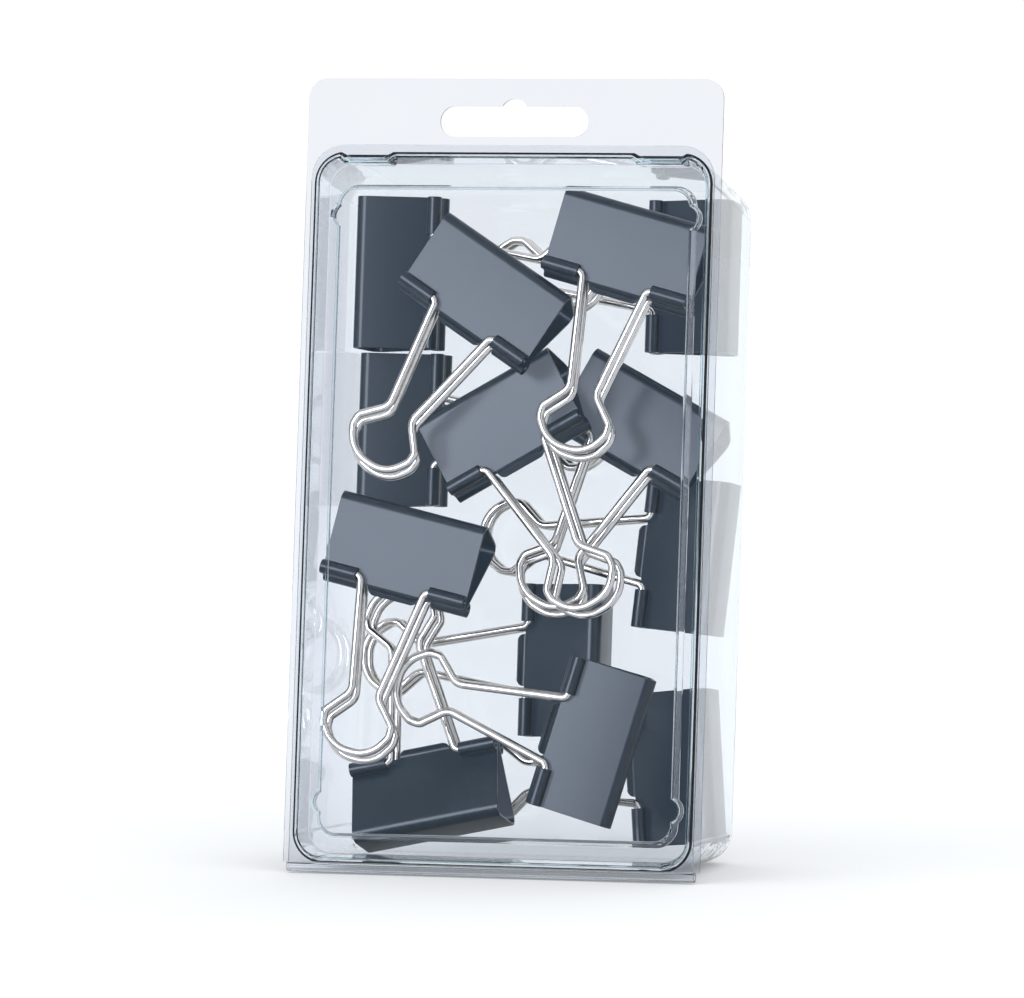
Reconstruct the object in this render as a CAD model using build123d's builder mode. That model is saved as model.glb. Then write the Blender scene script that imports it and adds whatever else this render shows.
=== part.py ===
"""Clear vacuum-formed clamshell pack with a hang tab, filled with binder clips."""

import os
from math import acos, atan2, cos, hypot, pi, radians, sin

from build123d import *

os.makedirs("parts", exist_ok=True)

# Clear sheet and the flange that both shells share
sheet = 0.5
flange_width = 89.0
flange_height = 165.0
tab_corner_radius = 4.0

# Hang slot in the tab
slot_length = 31.75
slot_height = 6.35
slot_drop = 5.75
slot_bump_radius = 3.1
slot_bump_rise = 1.5

# Tray: its mouth is the inside of the wall at the flange, measured up from the hinge line
mouth_width = 84.4
mouth_low = 2.3
mouth_high = 149.2
mouth_corner_radius = 6.0
tray_depth = 44.0
side_draw = 1.6
bottom_draw = 3.4
top_draw = 4.0
back_edge_radius = 5.0

# Snap dents in the tray's top wall
snap_spread = 63.0
snap_flat = 8.0
snap_foot = 12.5
snap_rise = 1.2
snap_reach = 4.0

# Cover: a press-in groove round a raised panel
seam_gap = 0.1
plug_clearance = 0.3
groove_reach = 5.5
groove_draw = 0.9
rim_side = 1.3
rim_top = 2.2
rim_corner_radius = 7.0
panel_width = 76.0
panel_low = 7.6
panel_high = 142.6
panel_corner_radius = 4.0
panel_recess = 2.35
panel_draw = 0.6
ear_radius = 3.1
ear_bulge = 1.6
ear_top_drop = 6.0
ear_bottom_rise = 7.0

# Living hinge bead along the foot of both flanges
bead_radius = 1.1
bead_length = 87.0
bead_facets = 8

# Binder clip body
clip_width = 32.0
clip_reach = 17.5
clip_spine = 14.0
clip_sheet = 0.5
clip_bend_radius = 2.0
bend_facets = 2
lip_gap = 0.1
barrel_radius = 1.55
barrel_length = 7.9
barrel_facets = 6
tongue_width = 11.0
tongue_length = 1.5
tongue_flare = 60.0

# Binder clip handle, bent from one wire
wire_diameter = 1.7
wire_facets = 6
bore_clearance = 0.16
handle_length = 35.8
arm_spread = 14.2
loop_width = 15.2
foot_length = 6.9

# Corners of half the wire past its arm, as (along handle_length, across half the loop_width)
loop_shares = [
    (0.64, 0.39),
    (0.80, 0.93),
    (0.90, 0.94),
    (1.00, 0.38),
]

# Jaw middle of each clip, as shares of the mouth's width, the mouth's height and the tray's depth
clip_place_shares = [
    (-0.136, 0.760, 0.124),
    (0.243, 0.815, 0.182),
    (-0.296, 0.383, 0.184),
    (-0.006, 0.577, 0.335),
    (0.101, 0.196, 0.313),
    (0.215, 0.584, 0.555),
    (-0.255, 0.845, 0.530),
    (-0.267, 0.625, 0.745),
    (-0.041, 0.2985, 0.795),
    (-0.261, 0.158, 0.590),
    (0.256, 0.4575, 0.806),
    (0.248, 0.1445, 0.800),
    (0.252, 0.850, 0.810),
]

# Degrees for each clip: turn of the handles from straight down, tip of the jaws towards the panel,
# then the swing of the front and back handles from the clip's middle plane
clip_angles = [
    (-33, 20, -20, -21),
    (-15, 20, -20, -21),
    (-13, 20, -20, -21),
    (30, 20, -20, -21),
    (-106, 20, -20, -21),
    (-28, 23, -23, -24),
    (90, 8, -6, -7),
    (90, 8, -12, -12),
    (-90, 0, -1, -1),
    (-168, -12, 10, 9),
    (-95, 0, 0, 0),
    (-85, 0, 0, 0),
    (-90, 0, 0, 0),
]

# The pack stands on its hinge bead and on the tray's lower back edge, so it leans back.
# The lean puts the bead and that rounded edge on one level.
bottom_slope = bottom_draw / tray_depth
edge_depth = tray_depth - back_edge_radius
edge_height = mouth_low - sheet + bottom_slope * edge_depth + back_edge_radius * hypot(1, bottom_slope)
edge_climb = edge_height - bead_radius
lean = acos((back_edge_radius - bead_radius) / hypot(edge_climb, edge_depth)) - atan2(edge_depth, edge_climb)

# The frame's origin lies on the floor, midway between the foremost and rearmost points
top_slope = top_draw / tray_depth
top_edge_height = mouth_high + sheet - top_slope * edge_depth - back_edge_radius * hypot(1, top_slope)
front_most = bead_radius * sin(lean) - bead_radius
rear_most = edge_depth * cos(lean) + top_edge_height * sin(lean) + back_edge_radius
stand = (0, -(front_most + rear_most) / 2, bead_radius * (1 - cos(lean)))

# X runs across the pack, Y up its flange, and Z out of its front; Z = 0 is the tray flange's front face
pack_face = Plane(origin=stand, x_dir=(1, 0, 0), z_dir=(0, -cos(lean), sin(lean)))
cover_face = pack_face.offset(seam_gap + sheet)
rearward = Axis(stand, (0, cos(lean), -sin(lean)))
bead_end = Plane(
    origin=pack_face.from_local_coords((-bead_length / 2, bead_radius, seam_gap / 2)),
    x_dir=pack_face.z_dir,
    z_dir=pack_face.x_dir,
)

# Sizes that several pieces share
flange_foot = 2 * bead_radius - sheet / 2
slot_top = flange_height - slot_drop
plug_width = mouth_width - 2 * plug_clearance
plug_high = mouth_high - plug_clearance


def upright_rectangle(width, low, high, radius):
    """Rounded rectangle between two heights, in the sketch that is open."""
    with Locations((0, (low + high) / 2)):
        RectangleRounded(width, high - low, radius)


def flange_outline(width, high, top_radius):
    """Flange from the hinge bead up to a height, with its own top corners."""
    with BuildSketch(Plane.XY) as outline:
        with Locations((0, flange_foot)):
            Rectangle(width, high - flange_foot, align=(Align.CENTER, Align.MIN))
        fillet(outline.vertices().group_by(Axis.Y)[-1], top_radius)
    return outline.sketch


def snap_outline(rise, spread):
    """Two trapezoids that dip below the mouth's top edge, in the sketch that is open."""
    half_foot = snap_foot / 2 + spread
    half_flat = snap_flat / 2 + spread
    with Locations((-snap_spread / 2, mouth_high), (snap_spread / 2, mouth_high)):
        Polygon((-half_foot, 0), (-half_flat, -rise), (half_flat, -rise), (half_foot, 0), align=None)


def tray_form(grow, depth, edge_radius):
    """Drawn box of the tray's mouth, grown all round, back to a depth, with rounded back edges."""
    drawn = depth / tray_depth
    with BuildPart() as form:
        for back, share in ((0, 0), (depth, drawn)):
            with BuildSketch(pack_face.offset(-back)):
                upright_rectangle(
                    mouth_width + 2 * grow - 2 * side_draw * share,
                    mouth_low - grow + bottom_draw * share,
                    mouth_high + grow - top_draw * share,
                    mouth_corner_radius + grow,
                )
        loft()
        fillet(form.faces().sort_by(rearward)[-1].edges(), edge_radius)
    return form.part


def plug_form(shrink, reach):
    """Drawn block that presses into the tray's mouth, with the snap notches in its top edge."""
    inset = plug_clearance + shrink
    with BuildPart() as form:
        for back, draw in ((0, 0), (reach, groove_draw * reach / groove_reach)):
            with BuildSketch(cover_face.offset(-back)):
                upright_rectangle(
                    mouth_width - 2 * inset - 2 * draw,
                    mouth_low + inset + draw,
                    mouth_high - inset - draw,
                    mouth_corner_radius - inset,
                )
        loft()
        with BuildSketch(cover_face):
            snap_outline(snap_rise + inset, inset)
        extrude(amount=-reach, mode=Mode.SUBTRACT)
    return form.part


def panel_form(shrink, recess):
    """Drawn island of the panel and its corner bulges, from a recess back to the groove's floor."""
    ear_across = panel_width / 2 + ear_bulge - ear_radius
    ear_places = (-ear_across, ear_across)
    ear_heights = (panel_low + ear_bottom_rise, panel_high - ear_top_drop)
    levels = ((recess, -shrink), (groove_reach, panel_draw - shrink))
    with BuildPart() as form:
        for back, grow in levels:
            with BuildSketch(cover_face.offset(-back)):
                upright_rectangle(
                    panel_width + 2 * grow,
                    panel_low - grow,
                    panel_high + grow,
                    panel_corner_radius + grow,
                )
        loft()
        with BuildSketch(cover_face.offset(-recess)):
            with Locations([(across, height) for across in ear_places for height in ear_heights]):
                Circle(ear_radius - shrink)
        extrude(amount=recess - groove_reach)
    return form.part


def half_bead(side):
    """Half of the hinge bead's tube: the cover's half for side 1, the tray's half for side -1."""
    with BuildPart() as bead:
        with BuildSketch(bead_end):
            RegularPolygon(bead_radius, bead_facets)
            RegularPolygon(bead_radius - sheet, bead_facets, mode=Mode.SUBTRACT)
            with Locations((side * (bead_radius + seam_gap / 2), 0)):
                Rectangle(2 * bead_radius, 2 * bead_radius, mode=Mode.INTERSECT)
        extrude(amount=bead_length)
    return bead.part


def wedge(lip, back, radius):
    """Block of a clip's wedge section, from its lips back to its bent spine."""
    middle_y = radius - back
    middle_z = lip - (radius + middle_y * sin(wedge_angle)) / cos(wedge_angle)
    bend_start = pi / 2 - wedge_angle
    upper = [(0, lip)]
    for step in range(bend_facets + 1):
        angle = bend_start + (pi - bend_start) * step / bend_facets
        upper.append((middle_y + radius * cos(angle), middle_z + radius * sin(angle)))
    lower = [(y, -z) for y, z in reversed(upper)]
    with BuildPart() as form:
        with BuildSketch(Plane.YZ):
            Polygon(*upper, *lower, align=None)
        extrude(amount=clip_width / 2, both=True)
    return form.part


def save(piece, name):
    """Label a finished sub-part and write its STEP file."""
    piece.part.label = name
    export_step(piece.part, f"parts/{name}.step")


# Tray: drawn box with a flange and hang tab, opened at its mouth and dented for the snaps
with BuildPart() as tray:
    add(tray_form(sheet, tray_depth, back_edge_radius))
    with BuildSketch(pack_face):
        add(flange_outline(flange_width, flange_height, tab_corner_radius))
        with Locations((0, slot_top - slot_height / 2)):
            SlotOverall(slot_length, slot_height, mode=Mode.SUBTRACT)
        with Locations((0, slot_top + slot_bump_rise - slot_bump_radius)):
            Circle(slot_bump_radius, mode=Mode.SUBTRACT)
    extrude(amount=-sheet)
    add(half_bead(-1))
    add(tray_form(0, tray_depth - sheet, back_edge_radius - sheet), mode=Mode.SUBTRACT)
    with BuildSketch(pack_face):
        snap_outline(snap_rise, 0)
    extrude(amount=-snap_reach)
    with BuildSketch(pack_face.offset(-sheet)):
        with Locations((0, sheet)):
            snap_outline(snap_rise, -sheet)
    extrude(amount=2 * sheet - snap_reach, mode=Mode.SUBTRACT)
save(tray, "tray")

# Cover: flange, press-in groove and raised panel of one sheet
with BuildPart() as groove_space:
    add(plug_form(sheet, groove_reach - sheet))
    add(panel_form(0, panel_recess), mode=Mode.SUBTRACT)

with BuildPart() as cover:
    with BuildSketch(cover_face):
        add(flange_outline(plug_width + 2 * rim_side, plug_high + rim_top, rim_corner_radius))
    extrude(amount=-sheet)
    add(plug_form(0, groove_reach))
    add(groove_space.part, mode=Mode.SUBTRACT)
    add(panel_form(sheet, panel_recess + sheet), mode=Mode.SUBTRACT)
    add(half_bead(1))
save(cover, "cover")

# Binder clip body: X across the jaws, Y from spine to jaws, Z from the back face to the front face
lip_out = lip_gap + clip_sheet
wedge_angle = atan2(clip_spine / 2 - lip_out, clip_reach)
face_step = clip_sheet / cos(wedge_angle)
pivot_y = barrel_radius * (sin(wedge_angle) - cos(wedge_angle))
pivot_z = lip_gap + barrel_radius * (sin(wedge_angle) + cos(wedge_angle))
bore_radius = wire_diameter / 2 + bore_clearance

with BuildPart() as clip_body:
    add(wedge(lip_out, clip_reach, clip_bend_radius))
    add(wedge(lip_out - face_step, clip_reach - clip_sheet, clip_bend_radius - clip_sheet), mode=Mode.SUBTRACT)
    for side in (-1, 1):
        flare = radians(tongue_flare) - wedge_angle
        tip_y = tongue_length * cos(flare)
        tip_z = lip_out + tongue_length * sin(flare)
        with BuildSketch(Plane.YZ):
            Polygon(
                (0, side * lip_gap),
                (0, side * lip_out),
                (tip_y, side * tip_z),
                (tip_y + clip_sheet * sin(flare), side * (tip_z - clip_sheet * cos(flare))),
                align=None,
            )
        extrude(amount=tongue_width / 2, both=True)
        for end in (-clip_width / 2, clip_width / 2 - barrel_length):
            with BuildSketch(Plane.YZ.offset(end)):
                with Locations((pivot_y, side * pivot_z)):
                    RegularPolygon(barrel_radius, barrel_facets)
                    RegularPolygon(bore_radius, wire_facets, mode=Mode.SUBTRACT)
            extrude(amount=barrel_length)

# Binder clip handle: one wire in the XY plane, its feet on the X axis and its loop up the Y axis
foot_end = arm_spread / 2 + foot_length
half_wire = [(foot_end, 0), (arm_spread / 2, 0)]
for along, across in loop_shares:
    half_wire.append((across * loop_width / 2, along * handle_length))
mirrored_wire = [(-x, y) for x, y in reversed(half_wire)]

with BuildPart() as clip_handle:
    with BuildLine():
        Polyline(*half_wire, *mirrored_wire)
    with BuildSketch(Plane.YZ.offset(foot_end)):
        RegularPolygon(wire_diameter / 2, wire_facets)
    sweep(transition=Transition.RIGHT)

# Clips, laid in the tray one by one
mouth_height = mouth_high - mouth_low
for number, (place, angles) in enumerate(zip(clip_place_shares, clip_angles), 1):
    across_share, up_share, deep_share = place
    turn, tip, front_swing, back_swing = angles
    jaws = Pos(across_share * mouth_width, mouth_low + up_share * mouth_height, -deep_share * tray_depth)
    clip = pack_face.location * jaws * Rot(Z=180 + turn) * Rot(X=tip)
    with BuildPart() as placed_body:
        add(clip_body.part.moved(clip))
    save(placed_body, f"clip_{number:02d}_body")
    for name, side, swing in (("front", 1, front_swing), ("back", -1, back_swing)):
        pivot = Pos(0, pivot_y, side * pivot_z) * Rot(X=swing)
        with BuildPart() as placed_handle:
            add(clip_handle.part.moved(clip * pivot))
        save(placed_handle, f"clip_{number:02d}_{name}_handle")
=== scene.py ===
from math import acos, atan2, cos, hypot, pi, radians, sin, tan

import bpy
from mathutils import Matrix, Vector


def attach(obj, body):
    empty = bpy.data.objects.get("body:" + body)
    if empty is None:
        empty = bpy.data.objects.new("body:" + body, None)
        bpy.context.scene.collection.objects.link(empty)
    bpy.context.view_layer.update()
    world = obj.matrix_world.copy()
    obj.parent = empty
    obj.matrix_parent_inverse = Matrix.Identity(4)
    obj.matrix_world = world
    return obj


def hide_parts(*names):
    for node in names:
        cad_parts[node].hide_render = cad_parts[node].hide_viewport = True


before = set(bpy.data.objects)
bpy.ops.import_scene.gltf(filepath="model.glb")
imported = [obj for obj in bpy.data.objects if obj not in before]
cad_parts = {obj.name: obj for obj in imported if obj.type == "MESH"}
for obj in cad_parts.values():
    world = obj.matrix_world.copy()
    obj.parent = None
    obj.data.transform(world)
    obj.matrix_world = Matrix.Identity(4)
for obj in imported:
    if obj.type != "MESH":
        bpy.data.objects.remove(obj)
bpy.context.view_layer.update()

# Sizes in millimetres, as in the part's source
clip_width = 32.0
clip_reach = 17.5
clip_spine = 14.0
clip_sheet = 0.5
clip_bend_radius = 2.0
lip_gap = 0.1
barrel_radius = 1.55
barrel_length = 7.9
tongue_width = 11.0
tongue_length = 1.5
tongue_angle = radians(60)
wire_diameter = 1.7
handle_length = 35.8
arm_spread = 14.2
loop_width = 15.2
foot_length = 6.9
sheet = 0.5
mouth_width = 84.4
mouth_low = 2.3
mouth_high = 149.2
tray_depth = 44.0
bottom_draw = 3.4
top_draw = 4.0
back_edge_radius = 5.0
bead_radius = 1.1

# Sizes that only the drawn pieces have, in millimetres
shell_edge_radius = 0.18
weld_reach = 0.001
clip_edge_radius = 0.1
barrel_outside = 1.5
barrel_bore = 1.0
foot_bend = 1.3
neck_bend = 3.0
shoulder_bend = 1.6
side_bend = 2.4
end_bend = 6.0

# Where the drawn sheet starts to get thinner towards the tray's back, and where it is thinnest
thinning_start = -4.0
thinning_end = 10.0

# Corners of half the wire's loop, which lies within 0.7 mm of the solid's
loop_shares = [(0.66, 0.38), (0.80, 0.97), (0.865, 0.97), (0.955, 0.70), (1.00, 0.28)]

# Share of the floor's brightness that it gives off itself
floor_glow = 0.25

# Place of each clip's jaws, and its turn, tip and the swing of its handles, as in the part's source
clip_place_shares = [
    (-0.136, 0.760, 0.124),
    (0.243, 0.815, 0.182),
    (-0.296, 0.383, 0.184),
    (-0.006, 0.577, 0.335),
    (0.101, 0.196, 0.313),
    (0.215, 0.584, 0.555),
    (-0.255, 0.845, 0.530),
    (-0.267, 0.625, 0.745),
    (-0.041, 0.2985, 0.795),
    (-0.261, 0.158, 0.590),
    (0.256, 0.4575, 0.806),
    (0.248, 0.1445, 0.800),
    (0.252, 0.850, 0.810),
]
clip_angles = [
    (-33, 20, -20, -21),
    (-15, 20, -20, -21),
    (-13, 20, -20, -21),
    (30, 20, -20, -21),
    (-106, 20, -20, -21),
    (-28, 23, -23, -24),
    (90, 8, -6, -7),
    (90, 8, -12, -12),
    (-90, 0, -1, -1),
    (-168, -12, 10, 9),
    (-95, 0, 0, 0),
    (-85, 0, 0, 0),
    (-90, 0, 0, 0),
]

# The pack leans back on its hinge bead and the tray's lower back edge
bottom_slope = bottom_draw / tray_depth
top_slope = top_draw / tray_depth
edge_depth = tray_depth - back_edge_radius
edge_height = mouth_low - sheet + bottom_slope * edge_depth + back_edge_radius * hypot(1, bottom_slope)
edge_climb = edge_height - bead_radius
edge_distance = hypot(edge_climb, edge_depth)
lean = acos((back_edge_radius - bead_radius) / edge_distance) - atan2(edge_depth, edge_climb)
top_edge_height = mouth_high + sheet - top_slope * edge_depth - back_edge_radius * hypot(1, top_slope)
front_most = bead_radius * sin(lean) - bead_radius
rear_most = edge_depth * cos(lean) + top_edge_height * sin(lean) + back_edge_radius
pack_place = Matrix((
    (1, 0, 0, 0),
    (0, sin(lean), -cos(lean), -(front_most + rear_most) / 2),
    (0, cos(lean), sin(lean), bead_radius * (1 - cos(lean))),
    (0, 0, 0, 1),
))


def metres(length):
    """A length in Blender's units."""
    return length / 1000


class Shape:
    """Points in millimetres and faces, gathered for one mesh."""

    def __init__(self):
        self.points = []
        self.faces = []

    def strips(self, rows, closed_rows=False):
        """Quads round a tube: rows of points that each close on themselves."""
        start = len(self.points)
        wide = len(rows[0])
        for row in rows:
            self.points.extend(row)
        for i in range(len(rows) if closed_rows else len(rows) - 1):
            a = start + i * wide
            b = start + (i + 1) % len(rows) * wide
            for j in range(wide):
                k = (j + 1) % wide
                self.faces.append((a + j, a + k, b + k, b + j))
        return start, start + (len(rows) - 1) * wide

    def ladder(self, start, wide, back_to_front):
        """Quads that close a thin ring of points across its sheet."""
        for k in range(wide // 2 - 1):
            rung = [start + k, start + k + 1, start + wide - 2 - k, start + wide - 1 - k]
            self.faces.append(tuple(reversed(rung)) if back_to_front else tuple(rung))

    def mesh(self, name, material):
        """The finished mesh, smooth shaded, in metres."""
        mesh = bpy.data.meshes.new(name)
        mesh.from_pydata([[metres(value) for value in point] for point in self.points], [], self.faces)
        mesh.shade_smooth()
        mesh.materials.append(material)
        return mesh


def soften(piece, radius, limit):
    """Round the sharp edges of a piece."""
    bevel = piece.modifiers.new("rounded edges", "BEVEL")
    bevel.width = metres(radius)
    bevel.segments = 3
    bevel.limit_method = "ANGLE"
    bevel.angle_limit = radians(limit)
    bevel.harden_normals = True


# Clip body: one bent sheet with a flared tongue on each lip and four rolled barrels
lip_out = lip_gap + clip_sheet
wedge_angle = atan2(clip_spine / 2 - lip_out, clip_reach)
pivot_y = barrel_radius * (sin(wedge_angle) - cos(wedge_angle))
pivot_z = lip_gap + barrel_radius * (sin(wedge_angle) + cos(wedge_angle))


def wedge_line(lip, back, radius):
    """The body's section as a line from one lip, round both bends of the spine, to the other lip."""
    bend_steps = 8
    middle_y = radius - back
    middle_z = lip - (radius + middle_y * sin(wedge_angle)) / cos(wedge_angle)
    start = pi / 2 - wedge_angle
    line = [(0, lip)]
    for step in range(bend_steps + 1):
        angle = start + (pi - start) * step / bend_steps
        line.append((middle_y + radius * cos(angle), middle_z + radius * sin(angle)))
    return line + [(y, -z) for y, z in reversed(line)]


def add_wedge(shape):
    """The bent sheet."""
    outer = wedge_line(lip_out, clip_reach, clip_bend_radius)
    face_step = clip_sheet / cos(wedge_angle)
    inner = wedge_line(lip_out - face_step, clip_reach - clip_sheet, clip_bend_radius - clip_sheet)
    ring = outer + inner[::-1]
    ends = (-clip_width / 2, clip_width / 2)
    first, last = shape.strips([[(x, y, z) for y, z in ring] for x in ends])
    shape.ladder(first, len(ring), True)
    shape.ladder(last, len(ring), False)


def add_tongue(shape, side):
    """A lip that curls up and out, narrower at its rounded tip."""
    steps = 6
    tip_narrowing = 1.2
    rows = []
    y = 0.0
    z = lip_out
    for step in range(steps + 1):
        share = step / steps
        angle = min(1.0, 1.6 * share) * tongue_angle - wedge_angle
        if step:
            y += tongue_length / steps * cos(angle)
            z += tongue_length / steps * sin(angle)
        half = tongue_width / 2 - tip_narrowing * share ** 3
        front = [(x, y, side * z) for x in (-half, half)]
        rear_y = y + clip_sheet * sin(angle)
        rear_z = side * (z - clip_sheet * cos(angle))
        rows.append(front + [(x, rear_y, rear_z) for x in (half, -half)])
    last = shape.strips(rows)[1]
    shape.ladder(last, len(rows[0]), False)


def add_barrel(shape, side, end):
    """A rolled tube along one end of a lip."""
    steps = 20
    ring = [(0, barrel_bore), (0, barrel_outside)]
    ring += [(barrel_length, barrel_outside), (barrel_length, barrel_bore)]
    rows = []
    for step in range(steps):
        across = cos(2 * pi * step / steps)
        up = sin(2 * pi * step / steps)
        rows.append([
            (end + x, pivot_y + radius * across, side * pivot_z + radius * up) for x, radius in ring
        ])
    shape.strips(rows, closed_rows=True)


def clip_body_mesh(material):
    shape = Shape()
    add_wedge(shape)
    for side in (1, -1):
        add_tongue(shape, side)
        for end in (-clip_width / 2, clip_width / 2 - barrel_length):
            add_barrel(shape, side, end)
    return shape.mesh("clip_body", material)


# Clip handle: one round wire
def round_corner(before, corner, after, radius):
    """The arc that replaces one corner of a line."""
    a = (before - corner).normalized()
    b = (after - corner).normalized()
    bend = pi - a.angle(b)
    reach = radius * tan(bend / 2)
    start = corner + a * reach
    centre = corner + (a + b).normalized() * hypot(reach, radius)
    spoke = start - centre
    turn = bend if a.cross(b) < 0 else -bend
    steps = max(3, round(bend / radians(9)))
    return [centre + Matrix.Rotation(turn * step / steps, 2) @ spoke for step in range(steps + 1)]


def handle_line():
    """The wire's middle line, with the bends that the loop's corners have."""
    half = [Vector((arm_spread / 2 + foot_length, 0)), Vector((arm_spread / 2, 0))]
    half += [Vector((across * loop_width / 2, along * handle_length)) for along, across in loop_shares]
    points = half + [Vector((-point.x, point.y)) for point in reversed(half)]
    bends = [foot_bend, neck_bend, shoulder_bend, side_bend, end_bend, end_bend]
    line = [points[0]]
    for before, corner, after, radius in zip(points, points[1:], points[2:], bends + bends[::-1]):
        line += round_corner(before, corner, after, radius)
    return line + [points[-1]]


def clip_handle_mesh(material):
    steps = 14
    radius = wire_diameter / 2
    line = handle_line()
    rows = []
    for k, point in enumerate(line):
        along = (line[min(len(line) - 1, k + 1)] - line[max(0, k - 1)]).normalized()
        side = Vector((-along.y, along.x))
        row = []
        for step in range(steps):
            angle = 2 * pi * step / steps
            middle = point + radius * cos(angle) * side
            row.append((middle.x, middle.y, radius * sin(angle)))
        rows.append(row)
    shape = Shape()
    first, last = shape.strips(rows)
    shape.faces.append(tuple(range(first, first + steps)))
    shape.faces.append(tuple(reversed(range(last, last + steps))))
    return shape.mesh("clip_handle", material)


# Materials
def new_material(name):
    material = bpy.data.materials.new(name)
    material.use_nodes = True
    nodes = material.node_tree.nodes
    return material, nodes, material.node_tree.links, nodes["Principled BSDF"]


def noise(nodes, links, scale, detail):
    """Noise over the object's own place."""
    where = nodes.new("ShaderNodeTexCoord")
    texture = nodes.new("ShaderNodeTexNoise")
    texture.inputs["Scale"].default_value = scale
    texture.inputs["Detail"].default_value = detail
    links.new(where.outputs["Object"], texture.inputs["Vector"])
    return texture


def colour_range(nodes, links, source, low, high):
    """Noise turned into a range of colours."""
    ramp = nodes.new("ShaderNodeValToRGB")
    ramp.color_ramp.elements[0].position = 0.3
    ramp.color_ramp.elements[0].color = low
    ramp.color_ramp.elements[1].position = 0.7
    ramp.color_ramp.elements[1].color = high
    links.new(source.outputs["Fac"], ramp.inputs["Fac"])
    return ramp.outputs["Color"]


def value_range(nodes, links, source, low, high):
    """Noise turned into a range of values."""
    span = nodes.new("ShaderNodeMapRange")
    span.inputs["From Min"].default_value = 0.3
    span.inputs["From Max"].default_value = 0.7
    span.inputs["To Min"].default_value = low
    span.inputs["To Max"].default_value = high
    links.new(source.outputs["Fac"], span.inputs["Value"])
    return span.outputs["Result"]


def black_paint():
    """Satin black enamel with a fine grain."""
    material, nodes, links, shader = new_material("black_paint")
    grain = noise(nodes, links, 400, 2)
    colour = colour_range(nodes, links, grain, (0.0190, 0.0400, 0.0645, 1), (0.0198, 0.0414, 0.0665, 1))
    links.new(colour, shader.inputs["Base Color"])
    links.new(value_range(nodes, links, grain, 0.278, 0.284), shader.inputs["Roughness"])
    shader.inputs["Specular IOR Level"].default_value = 0.55
    return material


def bright_wire():
    """Bright nickel, a little warm."""
    material, nodes, links, shader = new_material("bright_wire")
    grain = noise(nodes, links, 600, 2)
    colour = colour_range(nodes, links, grain, (0.70, 0.67, 0.63, 1), (0.80, 0.77, 0.73, 1))
    links.new(colour, shader.inputs["Base Color"])
    links.new(value_range(nodes, links, grain, 0.08, 0.14), shader.inputs["Roughness"])
    shader.inputs["Metallic"].default_value = 1.0
    return material


def clear_sheet():
    """Clear sheet with a faint blue cast, paler at the tray's back, where it is drawn thin."""
    material, nodes, links, shader = new_material("clear_sheet")
    cloud = noise(nodes, links, 60, 2)
    where = nodes.new("ShaderNodeTexCoord")
    split = nodes.new("ShaderNodeSeparateXYZ")
    links.new(where.outputs["Object"], split.inputs["Vector"])
    draw = nodes.new("ShaderNodeMapRange")
    draw.inputs["From Min"].default_value = metres(thinning_start)
    draw.inputs["From Max"].default_value = metres(thinning_end)
    links.new(split.outputs["Y"], draw.inputs["Value"])
    colour = nodes.new("ShaderNodeMix")
    colour.data_type = "RGBA"
    links.new(draw.outputs["Result"], colour.inputs["Factor"])
    whole = colour_range(nodes, links, cloud, (0.910, 0.905, 0.935, 1), (0.922, 0.916, 0.943, 1))
    thin = colour_range(nodes, links, cloud, (0.982, 0.984, 0.990, 1), (0.990, 0.991, 0.996, 1))
    links.new(whole, colour.inputs["A"])
    links.new(thin, colour.inputs["B"])
    links.new(colour.outputs["Result"], shader.inputs["Base Color"])
    links.new(value_range(nodes, links, cloud, 0.0, 0.02), shader.inputs["Roughness"])
    shader.inputs["Transmission Weight"].default_value = 1.0
    shader.inputs["IOR"].default_value = 1.5
    see_through = nodes.new("ShaderNodeBsdfTransparent")
    see_through.inputs["Color"].default_value = (0.72, 0.75, 0.79, 1)
    path = nodes.new("ShaderNodeLightPath")
    mix = nodes.new("ShaderNodeMixShader")
    links.new(path.outputs["Is Shadow Ray"], mix.inputs["Fac"])
    links.new(shader.outputs["BSDF"], mix.inputs[1])
    links.new(see_through.outputs["BSDF"], mix.inputs[2])
    links.new(mix.outputs["Shader"], nodes["Material Output"].inputs["Surface"])
    inside = nodes.new("ShaderNodeVolumeAbsorption")
    inside.inputs["Color"].default_value = (0.55, 0.80, 0.86, 1)
    inside.inputs["Density"].default_value = 160.0
    links.new(inside.outputs["Volume"], nodes["Material Output"].inputs["Volume"])
    return material


def floor_white():
    """White table that stays white away from the pack's shadow."""
    material, nodes, links, shader = new_material("floor_white")
    mottle = noise(nodes, links, 3, 2)
    colour = colour_range(nodes, links, mottle, (0.87, 0.88, 0.90, 1), (0.89, 0.90, 0.92, 1))
    links.new(colour, shader.inputs["Base Color"])
    shader.inputs["Roughness"].default_value = 0.9
    shader.inputs["Specular IOR Level"].default_value = 0.0
    shader.inputs["Emission Color"].default_value = (1, 1, 1, 1)
    shader.inputs["Emission Strength"].default_value = floor_glow
    return material


def show(name, mesh, matrix, node):
    """Put a mesh in the scene in place of a CAD node of the tray's body."""
    place = matrix.copy()
    place.translation = [metres(value) for value in matrix.translation]
    placed = mesh.copy()
    placed.transform(place)
    piece = bpy.data.objects.new(name, placed)
    bpy.context.scene.collection.objects.link(piece)
    clips.objects.link(piece)
    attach(piece, "tray")
    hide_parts(node)
    return piece


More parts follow.
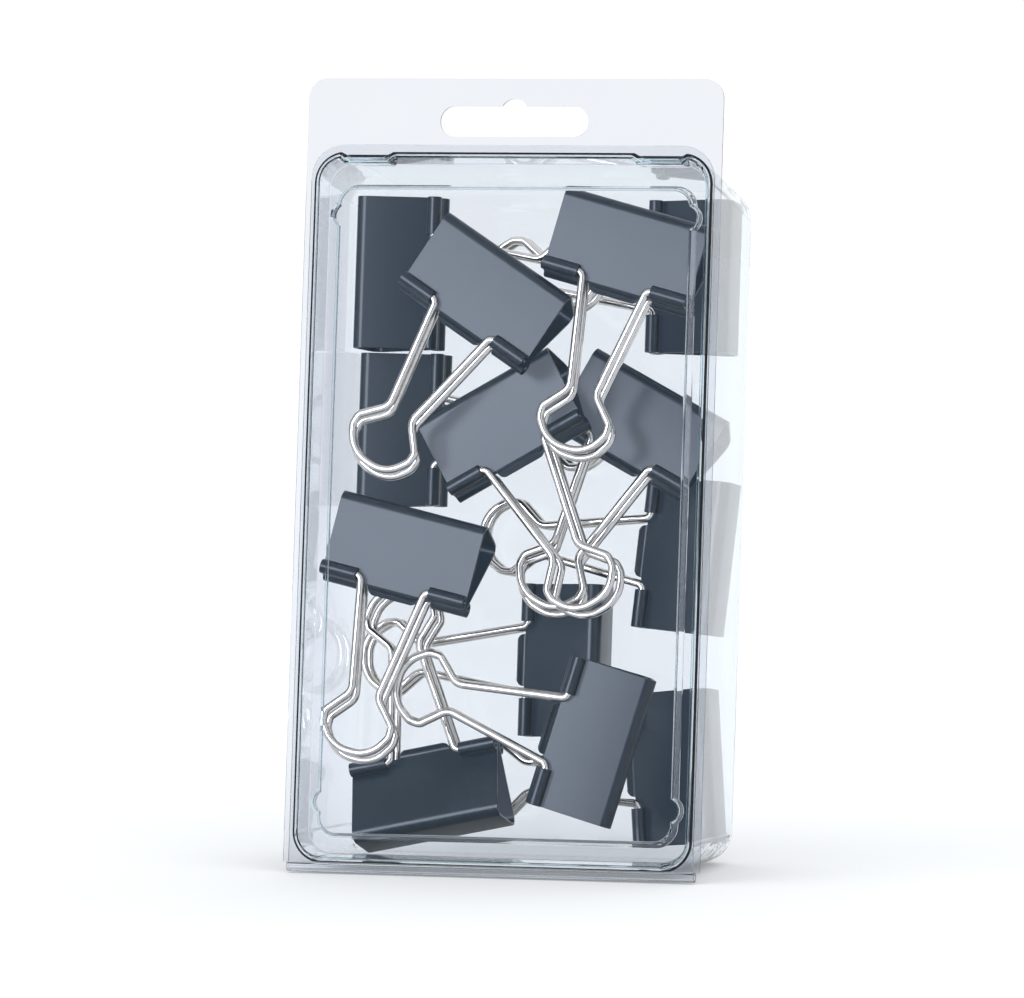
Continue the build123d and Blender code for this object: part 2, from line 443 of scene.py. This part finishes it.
# Clips in the tray
clips = bpy.data.collections.new("clips")
unlit = bpy.data.collections.new("unlit")
mouth_height = mouth_high - mouth_low
body_mesh = clip_body_mesh(black_paint())
handle_mesh = clip_handle_mesh(bright_wire())
for number, (shares, angles) in enumerate(zip(clip_place_shares, clip_angles), 1):
    across, up, deep = shares
    turn, tip, front_swing, back_swing = angles
    jaws = Vector((across * mouth_width, mouth_low + up * mouth_height, -deep * tray_depth))
    facing = Matrix.Rotation(radians(180 + turn), 4, "Z") @ Matrix.Rotation(radians(tip), 4, "X")
    clip = pack_place @ Matrix.Translation(jaws) @ facing
    name = f"clip_{number:02d}"
    body = show(f"{name}_painted_body", body_mesh, clip, f"{name}_body")
    soften(body, clip_edge_radius, 35)
    for end, side, swing in (("front", 1, front_swing), ("back", -1, back_swing)):
        pivot = Matrix.Translation((0, pivot_y, side * pivot_z))
        handle = clip @ pivot @ Matrix.Rotation(radians(swing), 4, "X")
        show(f"{name}_{end}_wire", handle_mesh, handle, f"{name}_{end}_handle")

# Clear shells: the CAD pieces with their sharp bends rounded
plastic = clear_sheet()
for name in ("tray", "cover"):
    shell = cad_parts[name]
    shell.data.materials.clear()
    shell.data.materials.append(plastic)
    weld = shell.modifiers.new("joined faces", "WELD")
    weld.merge_threshold = metres(weld_reach)
    flatten = shell.modifiers.new("whole flats", "DECIMATE")
    flatten.decimate_type = "DISSOLVE"
    flatten.angle_limit = radians(1)
    soften(shell, shell_edge_radius, 25)

# Floor
floor_half = 4.0
floor_level = metres(-0.3)
corners = [(-1, -1), (1, -1), (1, 1), (-1, 1)]
floor_mesh = bpy.data.meshes.new("floor")
floor_points = [(x * floor_half, y * floor_half, floor_level) for x, y in corners]
floor_mesh.from_pydata(floor_points, [], [(0, 1, 2, 3)])
floor_mesh.materials.append(floor_white())
floor = bpy.data.objects.new("floor", floor_mesh)
scene = bpy.context.scene
scene.collection.objects.link(floor)
unlit.objects.link(floor)

# Light: a white wall behind, soft light on each side of the camera and above, and dark between them
world = bpy.data.worlds.new("studio")
scene.world = world
world.use_nodes = True
nodes = world.node_tree.nodes
links = world.node_tree.links
dark = (0.22, 0.26, 0.28, 1)
bright = (0.97, 0.985, 1.0, 1)


def room_ramp(source, stops):
    """Brightness along one direction of the room, from -1 to 1."""
    span = nodes.new("ShaderNodeMapRange")
    span.inputs["From Min"].default_value = -1.0
    links.new(source, span.inputs["Value"])
    ramp = nodes.new("ShaderNodeValToRGB")
    elements = ramp.color_ramp.elements
    elements[0].position, elements[0].color = (stops[0][0] + 1) / 2, stops[0][1]
    elements[1].position, elements[1].color = (stops[-1][0] + 1) / 2, stops[-1][1]
    for place, colour in stops[1:-1]:
        elements.new((place + 1) / 2).color = colour
    links.new(span.outputs["Result"], ramp.inputs["Fac"])
    return ramp.outputs["Color"]


where = nodes.new("ShaderNodeTexCoord")
split = nodes.new("ShaderNodeSeparateXYZ")
links.new(where.outputs["Generated"], split.inputs["Vector"])
round_about = room_ramp(split.outputs["Y"], [
    (-0.92, dark), (-0.84, bright), (-0.30, bright), (-0.20, dark), (0.40, dark), (0.60, bright),
])
overhead = room_ramp(split.outputs["Z"], [(0.55, (0, 0, 0, 1)), (0.75, bright)])
both = nodes.new("ShaderNodeMix")
both.data_type = "RGBA"
both.blend_type = "LIGHTEN"
both.inputs["Factor"].default_value = 1.0
links.new(round_about, both.inputs["A"])
links.new(overhead, both.inputs["B"])
seen = nodes.new("ShaderNodeMix")
seen.data_type = "RGBA"
path = nodes.new("ShaderNodeLightPath")
links.new(path.outputs["Is Camera Ray"], seen.inputs["Factor"])
links.new(both.outputs["Result"], seen.inputs["A"])
seen.inputs["B"].default_value = (1, 1, 1, 1)
links.new(seen.outputs["Result"], nodes["Background"].inputs["Color"])
nodes["Background"].inputs["Strength"].default_value = 1.08

# A soft light that the clips' front faces mirror; it lights only them, and only the floor can shade it
lamp = bpy.data.lights.new("front light", "AREA")
lamp.size = 0.8
lamp.energy = 16.8
lamp.color = (0.80, 0.86, 0.985)
holder = bpy.data.objects.new("front light", lamp)
scene.collection.objects.link(holder)
holder.location = (-0.56, -1.45, 0.46)
holder.rotation_euler = (Vector((0, 0, 0.08)) - holder.location).to_track_quat("-Z", "Y").to_euler()
holder.light_linking.receiver_collection = clips
holder.light_linking.blocker_collection = unlit

# Camera
camera_data = bpy.data.cameras.new("camera")
camera_data.lens = 281.25
camera_data.sensor_width = 36
camera_data.clip_start = 0.05
camera = bpy.data.objects.new("camera", camera_data)
scene.collection.objects.link(camera)
camera.location = (0.444166, -1.605695, 0.175383)
camera.rotation_euler = (radians(86.59), 0, radians(15.58))
scene.camera = camera

scene.view_settings.view_transform = "Standard"
scene.cycles.max_bounces = 14
scene.cycles.caustics_refractive = False
scene.cycles.transmission_bounces = 12
scene.cycles.transparent_max_bounces = 12
